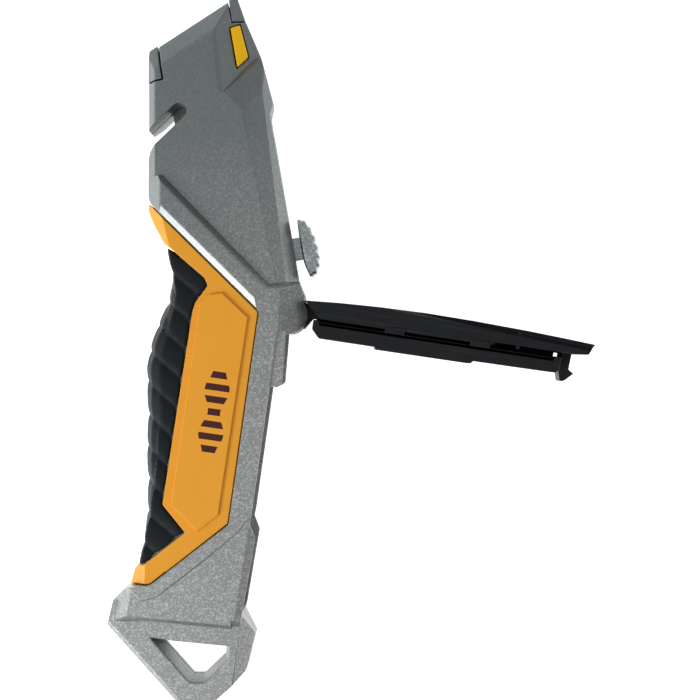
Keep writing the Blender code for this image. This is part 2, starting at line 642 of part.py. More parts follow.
def coil(name, centre, axis, length, radius, wire, turns):
    """A compression spring as a closed tube along a helix."""
    data = bpy.data.curves.new(name, "CURVE")
    data.dimensions = "3D"
    data.bevel_depth = wire * MM
    data.bevel_resolution = 1
    data.use_fill_caps = True
    spline = data.splines.new("POLY")
    steps = 10 * turns
    spline.points.add(steps)
    side = axis.orthogonal().normalized()
    other = axis.cross(side)
    for index in range(steps + 1):
        turn = 2 * math.pi * turns * index / steps
        place = centre + axis * (length * index / steps)
        place += (side * math.cos(turn) + other * math.sin(turn)) * radius
        spline.points[index].co = (*(place * MM), 1)
    curve = bpy.data.objects.new(name, data)
    bpy.context.scene.collection.objects.link(curve)
    bpy.context.view_layer.update()
    bm = bmesh.new()
    bm.from_mesh(bpy.data.meshes.new_from_object(curve.evaluated_get(bpy.context.evaluated_depsgraph_get())))
    bmesh.ops.remove_doubles(bm, verts=bm.verts, dist=1e-6)
    bpy.data.objects.remove(curve)
    return new_object(name, bm, BODY)


def release_button():
    """The catch button: a wedge that stands a little proud of its pocket."""
    made = prism("button", BUTTON_OUTLINE, BUTTON_BOTTOM, HEAD_TOP)
    return shave(made, *slope((5.4, 75.9), (4.6, 61.5), HEAD_TOP + 0.5, -0.6))


# Magazine, in the open arm's own coordinates: x along the arm, y outwards


def magazine_cover():
    made = prism("cover", COVER_OUTER, -COVER_HALF_WIDTH, COVER_HALF_WIDTH, OPEN)
    for side in (1, -1):
        edge = rectangle(-10.0, 100.0, -COVER_CHAMFER, COVER_CHAMFER)
        tilt = Matrix.Rotation(math.radians(-3.0), 4, "Z")
        corner = OPEN @ Matrix.Translation((0, 7.4, side * (COVER_HALF_WIDTH + 1.2))) @ tilt
        corner = corner @ Matrix.Rotation(math.radians(45), 4, "X")
        cut(made, prism("chamfer", edge, -COVER_CHAMFER, COVER_CHAMFER, corner))
    inner = COVER_HALF_WIDTH - COVER_WALL
    cut(made, prism("hollow", COVER_INNER, -inner, inner, OPEN))
    for place in COVER_RIBS:
        plan = rectangle(place, place + COVER_RIB_THICKNESS, 0.0, COVER_RIB_TOP)
        unite(made, prism("rib", plan, -inner - 0.5, inner + 0.5, OPEN))
    root_half_width = BARREL_HALF_LENGTH - 0.1
    unite(made, prism("root", COVER_ROOT, -root_half_width, root_half_width, OPEN))
    unite(made, prism("barrel", circle((0, 0), BARREL_RADIUS), -BARREL_HALF_LENGTH, BARREL_HALF_LENGTH, OPEN))
    cut(made, prism("pin_hole", circle((0, 0), PIN_RADIUS + GAP), -BEYOND, BEYOND, OPEN))
    for start, end in CLIPS:
        tab = rectangle(start, end, *CLIP_BAND)
        unite(made, prism("clip", tab, TRAY_HALF_WIDTH + GAP, CLIP_REACH, OPEN))
    return unite(made, prism("hook", HOOK_OUTLINE, -HOOK_HALF_WIDTH, HOOK_HALF_WIDTH, OPEN))


def blade_tray():
    made = prism("tray", TRAY_OUTLINE, -TRAY_HALF_WIDTH, TRAY_HALF_WIDTH, OPEN)
    inner = TRAY_HALF_WIDTH - TRAY_WALL
    start, end = TRAY_CAVITY
    cut(made, prism("cavity", rectangle(start, end, TRAY_FLOOR, 2.0), -inner, inner, OPEN))
    cut(made, prism("slot", rectangle(start, end, TRAY_SLOT_LIP, 2.0), 0, BEYOND, OPEN))
    return cut(made, prism("leaf_pocket", rectangle(*LEAF_POCKET, LEAF_FLOOR, 0), -6.0, 6.0, OPEN))


def retainer_leaf():
    """A bowed strip under the spare blades."""
    low, high = LEAF_POCKET[0] + 0.6, LEAF_POCKET[1] - 0.6
    middle = (low + high) / 2
    rise, thickness, steps = 0.45, 0.25, 8
    base = LEAF_FLOOR + GAP
    along = [low + (high - low) * index / steps for index in range(steps + 1)]
    lower = [(a, base + rise * (1 - ((a - middle) / (high - middle)) ** 2)) for a in along]
    upper = [(a, b + thickness) for a, b in reversed(lower)]
    return prism("leaf", lower + upper, -4.0, 4.0, OPEN)


def spare_blade(index):
    height = SPARE_TOP - index * SPARE_PITCH
    middle = sum(TRAY_CAVITY) / 2
    turn = Matrix.Rotation(math.radians(-90), 4, "X") @ Matrix.Rotation(math.radians(90), 4, "Z")
    place = OPEN @ Matrix.Translation((middle, height, 0)) @ turn
    return blade("spare", 0.0, place)


def main():
    for old in list(bpy.data.objects):
        bpy.data.objects.remove(old)
    knife = bpy.data.collections.new("utility_knife")
    bpy.context.scene.collection.children.link(knife)

    paint = material("grey_paint", (0.20, 0.22, 0.22), 0.38, 0.7)
    yellow = material("yellow_plastic", (0.75, 0.36, 0.03), 0.45, 0.0)
    amber = material("amber_plastic", (0.82, 0.46, 0.02), 0.4, 0.0)
    rubber = material("black_rubber", (0.02, 0.022, 0.025), 0.7, 0.0)
    black = material("black_plastic", (0.02, 0.02, 0.024), 0.45, 0.0)
    zinc = material("zinc_plate", (0.42, 0.47, 0.47), 0.35, 1.0)
    steel = material("blade_steel", (0.30, 0.31, 0.32), 0.4, 1.0)

    def keep(part, name, surface):
        return finish(part, name, surface, knife)

    keep(left_shell(), "left_shell", paint)
    keep(right_shell(), "right_shell", paint)
    frame = keep(grip_frame(), "left_grip_frame", yellow)
    keep(mirrored(frame, "frame"), "right_grip_frame", yellow)
    grip = keep(rubber_grip(), "left_rubber_grip", rubber)
    keep(mirrored(grip, "grip"), "right_rubber_grip", rubber)
    for index, (place, seat) in enumerate(zip(SCREWS, SCREW_SEATS)):
        keep(screw(place, seat), f"body_screw_{index + 1}", zinc)
    pin = prism("pin", circle((0, 0), PIN_RADIUS, 20), -PIN_HALF_LENGTH, PIN_HALF_LENGTH, OPEN)
    keep(pin, "magazine_hinge_pin", steel)
    strip = prism("strip", rectangle(*STRIP_PLAN), STRIP_LOW, STRIP_LOW + STRIP_THICKNESS)
    keep(strip, "detent_strip", steel)

    keep(blade("blade", BLADE_CENTRE_Y, BODY), "cutting_blade", steel)
    keep(blade_carrier(), "blade_carrier", black)
    keep(thumb_knob(), "thumb_knob", zinc)
    spring_start = Vector((10.55, (NECK_LOW + NECK_HIGH) / 2, 0.0))
    spring = coil("spring", spring_start, Vector((1, 0, 0)), length=1.3, radius=1.5, wire=0.2, turns=3)
    keep(spring, "knob_spring", steel)

    keep(release_button(), "release_button", amber)
    middle = sum((Vector(corner) for corner in BUTTON_OUTLINE), Vector((0, 0))) / 4
    spring_start = Vector((*middle, BUTTON_FLOOR + GAP))
    spring = coil("spring", spring_start, Vector((0, 0, 1)), length=1.05, radius=0.9, wire=0.15, turns=2)
    keep(spring, "release_spring", steel)

    keep(magazine_cover(), "magazine_cover", black)
    keep(blade_tray(), "blade_tray", black)
    keep(retainer_leaf(), "blade_retainer_spring", steel)
    for index in range(SPARE_BLADES):
        keep(spare_blade(index), f"spare_blade_{index + 1}", steel)


main()
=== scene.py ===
"""Looks of the utility knife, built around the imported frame.

The knife lies on its right side: +Z is up, +Y is the way the blade slides out and +X is the spine.
Heights called w are measured from the plane where the two shells meet.
"""

import json
import math

import bmesh
import bpy
from mathutils import Matrix, Vector
from mathutils.bvhtree import BVHTree
from mathutils.kdtree import KDTree


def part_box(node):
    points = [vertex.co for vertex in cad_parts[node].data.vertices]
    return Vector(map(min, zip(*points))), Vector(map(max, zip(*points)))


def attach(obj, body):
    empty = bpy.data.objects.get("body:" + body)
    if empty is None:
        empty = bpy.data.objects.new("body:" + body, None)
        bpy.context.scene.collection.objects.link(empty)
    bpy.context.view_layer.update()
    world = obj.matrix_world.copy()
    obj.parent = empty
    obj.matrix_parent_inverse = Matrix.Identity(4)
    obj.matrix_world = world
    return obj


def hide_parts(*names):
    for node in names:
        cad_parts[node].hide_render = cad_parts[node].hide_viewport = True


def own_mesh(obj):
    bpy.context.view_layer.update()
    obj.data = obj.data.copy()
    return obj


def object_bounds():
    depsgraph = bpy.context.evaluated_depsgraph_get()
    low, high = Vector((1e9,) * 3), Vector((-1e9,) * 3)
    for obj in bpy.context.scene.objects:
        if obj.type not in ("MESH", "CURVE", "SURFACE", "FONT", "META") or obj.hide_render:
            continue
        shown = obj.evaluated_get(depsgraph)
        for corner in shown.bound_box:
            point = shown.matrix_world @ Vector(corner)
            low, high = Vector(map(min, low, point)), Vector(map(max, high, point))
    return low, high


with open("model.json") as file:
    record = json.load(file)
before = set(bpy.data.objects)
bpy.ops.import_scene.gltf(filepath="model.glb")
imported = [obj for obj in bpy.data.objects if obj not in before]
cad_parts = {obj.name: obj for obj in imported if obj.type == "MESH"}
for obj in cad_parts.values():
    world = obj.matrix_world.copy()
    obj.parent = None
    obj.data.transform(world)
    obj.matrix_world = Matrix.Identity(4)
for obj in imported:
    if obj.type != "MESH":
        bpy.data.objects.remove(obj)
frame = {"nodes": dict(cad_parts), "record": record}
cad_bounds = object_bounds()
nodes = frame["nodes"]
bodies = frame["record"]["behaviour"]["bodies"]
body_of_node = {node: body for body, names in bodies.items() for node in names}

MM = 0.001
SEAM_HEIGHT = (cad_bounds[0][2] + cad_bounds[1][2]) / 2

# The open magazine's own coordinates: x along the arm, y to its outer face
HINGE = Vector((11.6 * MM, 0.0, SEAM_HEIGHT))
ARM_TURN = math.radians(-18.65)
ARM = Matrix.Translation(HINGE) @ Matrix.Rotation(ARM_TURN, 4, "Z")

# Shading and fillets
CREASE = math.radians(35)  # sharper edges than this keep a hard shading line
SMOOTHEST_EDGE = 8.0  # degrees; flatter edges get no fillet
GENTLE_EDGE = 38.0  # degrees; edges below this get the wide fillet and the others the narrow one
FLAT = math.radians(0.6)  # faces that differ by less are one face
SAME_PLACE = 0.002 * MM
CAD_SLIVER = 0.01 * MM
FILLET_SLIVER = 0.004 * MM
EASE = 0.6  # how much a crowded corner's fillets shrink at each attempt
FOLD_ATTEMPTS = 3  # attempts that ease folded corners as well as overrunning ones
EASING_ATTEMPTS = 8  # attempts that shrink fillets, before the last ones remove them
ATTEMPTS = 11


# Mesh helpers


def new_piece(name, bm, node, *replaced):
    """Turns a bmesh into a piece that rides with a frame node."""
    bmesh.ops.recalc_face_normals(bm, faces=bm.faces)
    mesh = bpy.data.meshes.new(name)
    bm.to_mesh(mesh)
    bm.free()
    mesh.shade_smooth()
    mesh.set_sharp_from_angle(angle=CREASE)
    piece = bpy.data.objects.new(name, mesh)
    bpy.context.scene.collection.objects.link(piece)
    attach(piece, body_of_node[node])
    if replaced:
        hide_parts(*replaced)
    return piece


def even_shading(piece):
    """Lets large flat faces set the shading of the fillets beside them."""
    shading = piece.modifiers.new("even_shading", "WEIGHTED_NORMAL")
    shading.keep_sharp = True
    return piece


def edge_weights(bm, wide, narrow):
    """Bevel weights: a full one for gentle creases and a small one for sharp edges."""
    weights = bm.edges.layers.float.new("bevel_weight_edge")
    for edge in bm.edges:
        if len(edge.link_faces) == 2:
            angle = math.degrees(edge.calc_face_angle(0.0))
            if angle > SMOOTHEST_EDGE:
                edge[weights] = 1.0 if angle < GENTLE_EDGE else narrow / wide
    return weights


def corners_that_overrun(mesh, surface, corners, limit, reach):
    """Corners of the plain solid whose fillets leave its surface by more than a limit."""
    astray = {v.index for v in mesh.vertices if surface.find_nearest(v.co)[3] > limit}
    found = set()
    for edge in mesh.edges:
        for tip, root in (edge.vertices[:], reversed(edge.vertices[:])):
            if tip in astray and root not in astray:
                _, corner, distance = corners.find(mesh.vertices[root].co)
                if distance < reach:
                    found.add(corner)
    return found


def corners_that_fold(mesh, corners, reach):
    """Corners of the plain solid whose fillets fold a neighbouring face over itself."""
    mesh.calc_loop_triangles()
    found = set()
    for triangle in mesh.loop_triangles:
        if triangle.normal.dot(mesh.polygons[triangle.polygon_index].normal) < 0.5:
            for index in triangle.vertices:
                _, corner, distance = corners.find(mesh.vertices[index].co)
                if distance < reach:
                    found.add(corner)
    return found


def drop_slivers(bm, height):
    """Merges faces thinner than a height into their neighbours."""
    for _ in range(4):
        thin = set()
        for face in bm.faces:
            longest = max(face.edges, key=lambda edge: edge.calc_length())
            if face.calc_area() < height * longest.calc_length():
                thin.add(longest)
        if not thin:
            return
        bmesh.ops.dissolve_edges(bm, edges=list(thin), use_verts=False)


def shape_with_modifiers(piece):
    """The mesh that a piece's modifiers make."""
    bpy.context.view_layer.update()
    return bpy.data.meshes.new_from_object(piece.evaluated_get(bpy.context.evaluated_depsgraph_get()))


def filleted(node, wide, narrow):
    """A bmesh of a frame node with rounded edges. A fillet with no room is made narrower."""
    bm = bmesh.new()
    bm.from_mesh(nodes[node].data)
    bmesh.ops.remove_doubles(bm, verts=bm.verts, dist=SAME_PLACE)
    bmesh.ops.dissolve_limit(bm, angle_limit=FLAT, verts=bm.verts, edges=bm.edges)
    drop_slivers(bm, CAD_SLIVER)
    bm.verts.ensure_lookup_table()
    bm.verts.index_update()
    surface = BVHTree.FromBMesh(bm)
    corners = KDTree(len(bm.verts))
    for vert in bm.verts:
        corners.insert(vert.co, vert.index)
    corners.balance()
    weights = edge_weights(bm, wide, narrow)

    mesh = bpy.data.meshes.new("plain")
    plain = bpy.data.objects.new("plain", mesh)
    bpy.context.scene.collection.objects.link(plain)
    bevel = plain.modifiers.new("fillet", "BEVEL")
    bevel.limit_method = "WEIGHT"
    bevel.offset_type = "OFFSET"
    bevel.width = wide
    bevel.segments = 3
    bevel.use_clamp_overlap = False
    bevel.miter_outer = "MITER_ARC"
    limit = 0.65 * narrow + 0.02 * MM
    for attempt in range(ATTEMPTS):
        bm.to_mesh(mesh)
        mesh.update()
        rounded = shape_with_modifiers(plain)
        crowded = corners_that_overrun(rounded, surface, corners, limit, 2.5 * wide)
        if attempt < FOLD_ATTEMPTS:
            crowded |= corners_that_fold(rounded, corners, 1.2 * wide)
        if not crowded:
            break
        for index in crowded:
            for edge in bm.verts[index].link_edges:
                edge[weights] *= EASE if attempt < EASING_ATTEMPTS else 0.0
    bm.free()
    bpy.data.objects.remove(plain)
    result = bmesh.new()
    result.from_mesh(rounded)
    drop_slivers(result, FILLET_SLIVER)
    return result


def refine(node, wide, narrow):
    """A rounded piece that stands for a frame node."""
    return even_shading(new_piece("fine_" + node, filleted(node, wide, narrow), node, node))


def ring_loft(bm, rings):
    """Joins closed rings of equal length into one solid."""
    loops = [[bm.verts.new(point) for point in ring] for ring in rings]
    bm.faces.new(loops[0])
    bm.faces.new(loops[-1])
    count = len(loops[0])
    for low, high in zip(loops, loops[1:]):
        for index in range(count):
            after = (index + 1) % count
            bm.faces.new((low[index], low[after], high[after], high[index]))


def smooth_curve(points, steps):
    """Points of a Catmull-Rom curve through the given ones."""
    padded = [points[0], *points, points[-1]]
    curve = []
    for before, start, end, after in zip(padded, padded[1:], padded[2:], padded[3:]):
        square = 2 * before - 5 * start + 4 * end - after
        cube = 3 * start - before - 3 * end + after
        for index in range(steps):
            t = index / steps
            curve.append(0.5 * (2 * start + (end - before) * t + square * t**2 + cube * t**3))
    return [*curve, points[-1]]


# Materials


def add_node(tree, kind, inputs, **settings):
    """Adds a shader node. Each input is a value, or an output that is linked to it."""
    made = tree.nodes.new(kind)
    for name, value in settings.items():
        setattr(made, name, value)
    for name, value in inputs.items():
        if isinstance(value, bpy.types.NodeSocket):
            tree.links.new(value, made.inputs[name])
        else:
            made.inputs[name].default_value = value
    return made


class Finish:
    """A Principled material and the few node patterns that the finishes share."""

    def __init__(self, name, constants=None):
        self.material = bpy.data.materials.new(name)
        self.material.use_nodes = True
        self.tree = self.material.node_tree
        self.shader = self.tree.nodes["Principled BSDF"]
        for socket, value in (constants or {}).items():
            self.shader.inputs[socket].default_value = value
        self.where = add_node(self.tree, "ShaderNodeTexCoord", {}).outputs["Object"]

    def turned(self, where, angle):
        """A place, turned about +Z."""
        inputs = {"Vector": where, "Angle": angle}
        made = add_node(self.tree, "ShaderNodeVectorRotate", inputs, rotation_type="Z_AXIS")
        return made.outputs["Vector"]

    def noise(self, scale, detail=2.0, where=None):
        inputs = {"Vector": where or self.where, "Scale": scale, "Detail": detail}
        return add_node(self.tree, "ShaderNodeTexNoise", inputs).outputs["Fac"]

    def cells(self, scale):
        """A random grey for each small cell."""
        made = add_node(self.tree, "ShaderNodeTexVoronoi", {"Vector": self.where, "Scale": scale})
        return add_node(self.tree, "ShaderNodeSeparateColor", {"Color": made.outputs["Color"]}).outputs[0]

    def scratches(self, density, turn=0.0):
        """Streaks: how many lie along each axis, after a turn about +Z."""
        inputs = {"Vector": self.turned(self.where, turn), "Scale": density}
        return self.noise(1.0, 3.0, add_node(self.tree, "ShaderNodeMapping", inputs).outputs["Vector"])

    def math(self, operation, first, second=0.5, third=0.5):
        """A Math node's result."""
        made = add_node(self.tree, "ShaderNodeMath", {0: first, 1: second, 2: third}, operation=operation)
        return made.outputs[0]

    def span(self, value, low, high, first=0.0, second=1.0):
        """Maps low to first and high to second."""
        inputs = {"Value": value, "From Min": low, "From Max": high, "To Min": first, "To Max": second}
        return add_node(self.tree, "ShaderNodeMapRange", inputs).outputs["Result"]

    def mix(self, factor, first, second):
        """A blend of two colours."""
        made = self.tree.nodes.new("ShaderNodeMix")
        made.data_type = "RGBA"
        for index, value in ((0, factor), (6, first), (7, second)):
            if isinstance(value, bpy.types.NodeSocket):
                self.tree.links.new(value, made.inputs[index])
            else:
                made.inputs[index].default_value = value if index == 0 else (*value, 1.0)
        return made.outputs[2]

    def axis(self, name):
        """One coordinate of the place."""
        return add_node(self.tree, "ShaderNodeSeparateXYZ", {"Vector": self.where}).outputs[name]

    def colour(self, value):
        self.tree.links.new(value, self.shader.inputs["Base Color"])

    def roughness(self, value):
        self.tree.links.new(value, self.shader.inputs["Roughness"])

    def bump(self, height, distance, strength=1.0):
        inputs = {"Height": height, "Distance": distance, "Strength": strength}
        made = add_node(self.tree, "ShaderNodeBump", inputs)
        self.tree.links.new(made.outputs["Normal"], self.shader.inputs["Normal"])


def flake_paint():
    """Silver-grey paint with metal flakes on a cast body, with painted light that makes it lighter and its
    flakes glint more towards the tail.
    """
    made = Finish("grey_flake_paint", {"Metallic": 0.82})
    flakes = made.cells(3200)
    orange_peel = made.noise(900, 3.0)
    drift = made.noise(18, 2.0)
    # Painted light: the colour grows lighter towards the tail, where more light falls
    painted_tail_light = made.span(made.axis("Y"), 50 * MM, -12 * MM, 0.0, 0.6)
    # Random drift of tone, plus the painted tail light
    drift_and_painted_tail_light = made.math("MULTIPLY_ADD", drift, 0.25, painted_tail_light)
    # Flake cells in a lighter colour: real flakes, painted as glints that grow with the painted tail light
    glint = made.math("MULTIPLY", made.span(flakes, 0.5, 1.0), made.span(drift_and_painted_tail_light, 0.1, 0.7, 0.03, 0.7))
    # The ground colour carries the random drift and the painted tail light
    ground = made.mix(drift_and_painted_tail_light, (0.16, 0.184, 0.192), (0.34, 0.345, 0.332))
    made.colour(made.mix(glint, ground, (0.6, 0.62, 0.61)))
    made.roughness(made.span(flakes, 0.0, 1.0, 0.34, 0.44))
    height = made.math("MULTIPLY_ADD", flakes, 0.6, made.math("MULTIPLY", orange_peel, 0.8))
    made.bump(height, 0.02 * MM, 0.6)
    return made.material


PRINT_CENTRE = Vector((-11.4, -21.7)) * MM
PRINT_LENGTH = 22.5 * MM
PRINT_HEIGHT = 6.5 * MM
PRINT_BARS = 7
BAR_SHARE = 0.54  # of the pitch of the bars
PANEL_TURN = math.radians(-18.1)  # from +Y to the panel's long axis


def print_mask(made):
    """1 on a row of plain bars across the label panel, whose height rises and falls in two waves."""
    mapping = {"Vector": made.where, "Location": (-PRINT_CENTRE.x, -PRINT_CENTRE.y, 0)}
    moved = add_node(made.tree, "ShaderNodeMapping", mapping).outputs["Vector"]
    on_panel = {"Vector": made.turned(moved, -PANEL_TURN)}
    across, along, _ = add_node(made.tree, "ShaderNodeSeparateXYZ", on_panel).outputs
    place = made.math("MULTIPLY_ADD", along, 1 / PRINT_LENGTH, 0.5)
    after_start = made.math("GREATER_THAN", place, 0.0)
    before_end = made.math("LESS_THAN", place, 1.0)
    inside = made.math("MULTIPLY", after_start, before_end)
    phase = made.math("FRACT", made.math("MULTIPLY", place, PRINT_BARS))
    off_middle = made.math("ABSOLUTE", made.math("SUBTRACT", phase, 0.5))
    bar = made.math("LESS_THAN", off_middle, BAR_SHARE / 2)
    wave = made.math("COSINE", made.math("MULTIPLY", place, 4 * math.pi))
    reach = made.math("MULTIPLY_ADD", wave, -PRINT_HEIGHT / 8, PRINT_HEIGHT * 3 / 8)
    tall = made.math("LESS_THAN", made.math("ABSOLUTE", across), reach)
    return made.math("MULTIPLY", made.math("MULTIPLY", inside, bar), tall)


def yellow_plastic():
    """Satin moulded plastic of the frames, with the print on the label panel."""
    made = Finish("yellow_plastic", {"Specular IOR Level": 0.22})
    base = made.mix(made.noise(120, 3.0), (0.78, 0.335, 0.024), (0.82, 0.36, 0.03))
    made.colour(made.mix(print_mask(made), base, (0.06, 0.012, 0.012)))
    made.roughness(made.span(made.noise(400, 4.0), 0.3, 0.7, 0.38, 0.5))
    made.bump(made.noise(3500, 2.0), 0.012 * MM, 0.5)
    return made.material


def amber_plastic():
    """Smooth moulded plastic of the release button."""
    made = Finish("amber_plastic", {"Specular IOR Level": 0.2})
    made.colour(made.mix(made.noise(300, 3.0), (0.98, 0.53, 0.004), (1.0, 0.57, 0.008)))
    made.roughness(made.span(made.noise(900, 3.0), 0.3, 0.7, 0.3, 0.42))
    made.bump(made.noise(2500, 2.0), 0.01 * MM, 0.4)
    return made.material


def black_rubber():
    """Fine-grained soft rubber."""
    made = Finish("black_rubber", {"Specular IOR Level": 0.16})
    made.colour(made.mix(made.noise(260, 5.0), (0.005, 0.0075, 0.010), (0.009, 0.0125, 0.016)))
    made.roughness(made.span(made.noise(700, 4.0), 0.3, 0.7, 0.44, 0.58))
    made.bump(made.noise(2600, 3.0), 0.02 * MM, 0.4)
    return made.material


def black_plastic():
    """Moulded plastic with faint scuffs along the arm."""
    made = Finish("black_plastic", {"Specular IOR Level": 0.2})
    scuffs = made.span(made.scratches((60, 2600, 900), -ARM_TURN), 0.55, 0.75)
    base = made.mix(made.noise(200, 3.0), (0.006, 0.007, 0.009), (0.010, 0.011, 0.014))
    made.colour(made.mix(made.math("MULTIPLY", scuffs, 0.35), base, (0.045, 0.045, 0.05)))
    made.roughness(made.span(made.noise(900, 4.0), 0.3, 0.7, 0.36, 0.5))
    made.bump(made.noise(3000, 3.0), 0.015 * MM, 0.4)
    return made.material


def zinc_plate():
    """Plated zinc casting with a pitted skin."""
    made = Finish("zinc_plate", {"Metallic": 1.0})
    pits = made.cells(2300)
    stain = made.noise(500, 4.0)
    base = made.mix(stain, (0.2, 0.245, 0.25), (0.42, 0.47, 0.47))
    made.colour(made.mix(made.span(pits, 0.6, 1.0, 0.0, 0.45), base, (0.75, 0.8, 0.8)))
    made.roughness(made.span(made.noise(1500, 3.0), 0.3, 0.7, 0.22, 0.42))
    made.bump(made.math("ADD", pits, stain), 0.05 * MM, 0.6)
    return made.material


def blade_steel(name, density, light, turn=0.0):
    """Oiled tool steel. density and turn lay its grinding marks and light is how bright it is."""
    made = Finish(name, {"Metallic": 1.0})
    grinding = made.scratches(density, turn)
    oiled = [light * tint for tint in (0.7, 0.73, 0.73)]
    dry = [light * tint for tint in (0.97, 1.0, 0.98)]
    ground = [light * tint for tint in (1.3, 1.35, 1.3)]
    base = made.mix(made.noise(90, 3.0), oiled, dry)
    made.colour(made.mix(made.span(grinding, 0.35, 0.7, 0.0, 0.5), base, ground))
    made.roughness(made.span(grinding, 0.3, 0.7, 0.26, 0.44))
    made.bump(grinding, 0.01 * MM, 0.5)
    return made.material


paint = flake_paint()
yellow = yellow_plastic()
amber = amber_plastic()
rubber = black_rubber()
black = black_plastic()
zinc = zinc_plate()
steel = blade_steel("blade_steel", (3200, 120, 900), 0.2)
# Painted shade: the spare blades get a much darker copy of the blade steel, for the shade inside the
# magazine
shaded_spare_steel = blade_steel("oiled_blade_steel", (120, 3200, 900), 0.03, -ARM_TURN)
spring_steel = blade_steel("spring_steel", (1500, 1500, 1500), 0.34)


def surface(piece, material):
    """Gives a piece one material."""
    piece.data.materials.clear()
    piece.data.materials.append(material)
    return piece


# Body, panels and button

for name in ("left_shell", "right_shell"):
    surface(refine(name, 1.1 * MM, 0.4 * MM), paint)
for name in ("left_grip_frame", "right_grip_frame"):
    surface(refine(name, 0.45 * MM, 0.3 * MM), yellow)
surface(refine("release_button", 0.5 * MM, 0.35 * MM), amber)

# Rubber grips with overlapping lobes

GROOVE_ACROSS = Vector((0.764, 0.645, 0.0))  # direction from groove to groove
GROOVE_PITCH = 6.5 * MM
GROOVE_START = -21.8 * MM  # one groove's distance from the origin
GROOVE_DEPTH = 0.5 * MM
LOBE_FULLNESS = 3.2  # 2 is a round lobe, and more makes it flatter with steeper grooves
RUBBER_SAMPLE = 0.36 * MM
RUBBER_SMOOTHING = 8


def lobe_height(place):
    """0 at a groove and 1 on top of a lobe, for a place counted in lobes."""
    share = place - math.floor(place)
    return 1.0 - abs(2.0 * share - 1.0) ** LOBE_FULLNESS


def rubber_piece(node):
    """A smooth skin over the grip's solid, with its grooves pressed in."""
    plain = bpy.data.objects.new("plain", nodes[node].data.copy())
    bpy.context.scene.collection.objects.link(plain)
    remesh = plain.modifiers.new("skin", "REMESH")
    remesh.mode = "VOXEL"
    remesh.voxel_size = RUBBER_SAMPLE
    smooth = plain.modifiers.new("relax", "SMOOTH")
    smooth.factor = 0.5
    smooth.iterations = RUBBER_SMOOTHING
    skin = shape_with_modifiers(plain)
    bpy.data.objects.remove(plain)
    bm = bmesh.new()
    bm.from_mesh(skin)
    bm.normal_update()
    for vert in bm.verts:
        place = (vert.co.dot(GROOVE_ACROSS) - GROOVE_START) / GROOVE_PITCH
        vert.co += vert.normal * (GROOVE_DEPTH * (lobe_height(place) - 1.0))
    return new_piece("fine_" + node, bm, node, node)


for name in ("left_rubber_grip", "right_rubber_grip"):
    surface(rubber_piece(name), rubber)

# Thumb slider, in millimetres: its outline is (x, y) seen from the side

KNOB_BACK = [(18.2, 24.2), (18.0, 20.0), (18.0, 14.0), (18.3, 11.5), (19.0, 8.9)]
KNOB_FRONT = [
    (19.0, 8.9), (20.6, 9.2), (22.0, 11.5), (22.5, 14.5), (22.3, 18.0), (21.4, 21.5), (19.9, 24.0),
    (18.2, 24.2),
]  # fmt: skip
KNOB_CENTRE = Vector((19.6, 16.5))
KNOB_TEETH = 9
TOOTH_DEPTH = 0.5
TOOTHLESS_END = 1 / 6  # share of the thumb's face over which the teeth fade in
# The rounding of the knob's side: a share of its half width and how far its outline shrinks there
KNOB_SIDE = [(0.75, 0.0), (0.87, 0.15), (0.95, 0.45), (1.0, 0.9)]
NECK_X = (12.2, 12.3, 18.5)
NECK_Y = (13.8, 19.7)
NECK_HALF_WIDTH = 2.0
NECK_CHAMFER = 0.2


def knob_outline(shrink):
    """The knob seen from the side, with ridges along the thumb's face."""
    back = smooth_curve([Vector(point) for point in KNOB_BACK], 4)
    front = smooth_curve([Vector(point) for point in KNOB_FRONT], 12)
    outline = back[1:-1]
    for index, point in enumerate(front):
        share = index / (len(front) - 1)
        fade = min(1.0, share / TOOTHLESS_END, (1 - share) / TOOTHLESS_END)
        tooth = 0.5 - 0.5 * math.cos(2 * math.pi * KNOB_TEETH * share)
        inward = (KNOB_CENTRE - point).normalized()
        outline.append(point + inward * TOOTH_DEPTH * fade * (1 - tooth))
    return [point + (KNOB_CENTRE - point).normalized() * shrink for point in outline]


def neck_outline():
    """The neck's section, as (y, w)."""
    (low, high), wide, chamfer = NECK_Y, NECK_HALF_WIDTH, NECK_CHAMFER
    near = [(low, chamfer - wide), (low + chamfer, -wide), (high - chamfer, -wide), (high, chamfer - wide)]
    return [*near, *[(y, -w) for y, w in reversed(near)]]


def knob_piece():
    low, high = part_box("thumb_knob")
    half = (high[2] - low[2]) / 2
    sides = [(-share, shrink) for share, shrink in reversed(KNOB_SIDE)] + KNOB_SIDE
    rings = []
    for share, shrink in sides:
        height = SEAM_HEIGHT + share * half
        rings.append([(point.x * MM, point.y * MM, height) for point in knob_outline(shrink)])
    bm = bmesh.new()
    ring_loft(bm, rings)
    section = neck_outline()
    ring_loft(bm, [[(x * MM, y * MM, SEAM_HEIGHT + w * MM) for y, w in section] for x in NECK_X])
    return even_shading(new_piece("fine_thumb_knob", bm, "thumb_knob", "thumb_knob"))


surface(knob_piece(), zinc)

# Magazine

for name in ("magazine_cover", "blade_tray"):
    surface(refine(name, 0.5 * MM, 0.25 * MM), black)
surface(refine("blade_carrier", 0.4 * MM, 0.25 * MM), black)

# Limits in the arm's coordinates: a along it, b to its outer face and w from the joint plane
CLIPS = [(25.6, 30.8), (48.0, 53.0)]
CLIP_MARGIN = 0.35
CLIP_END_ROOM = 0.6
CLIP_RIB_SPACING = 1.1
CLIP_RIB_WIDTH = 0.45
CLIP_RIB_HEIGHT = (-0.9, 0.7)
CLIP_FACE = 10.7
CLIP_RIB_TOP = 11.04
LINER = (7.2, 72.3, -0.52, 3.0, -9.3, -8.7)


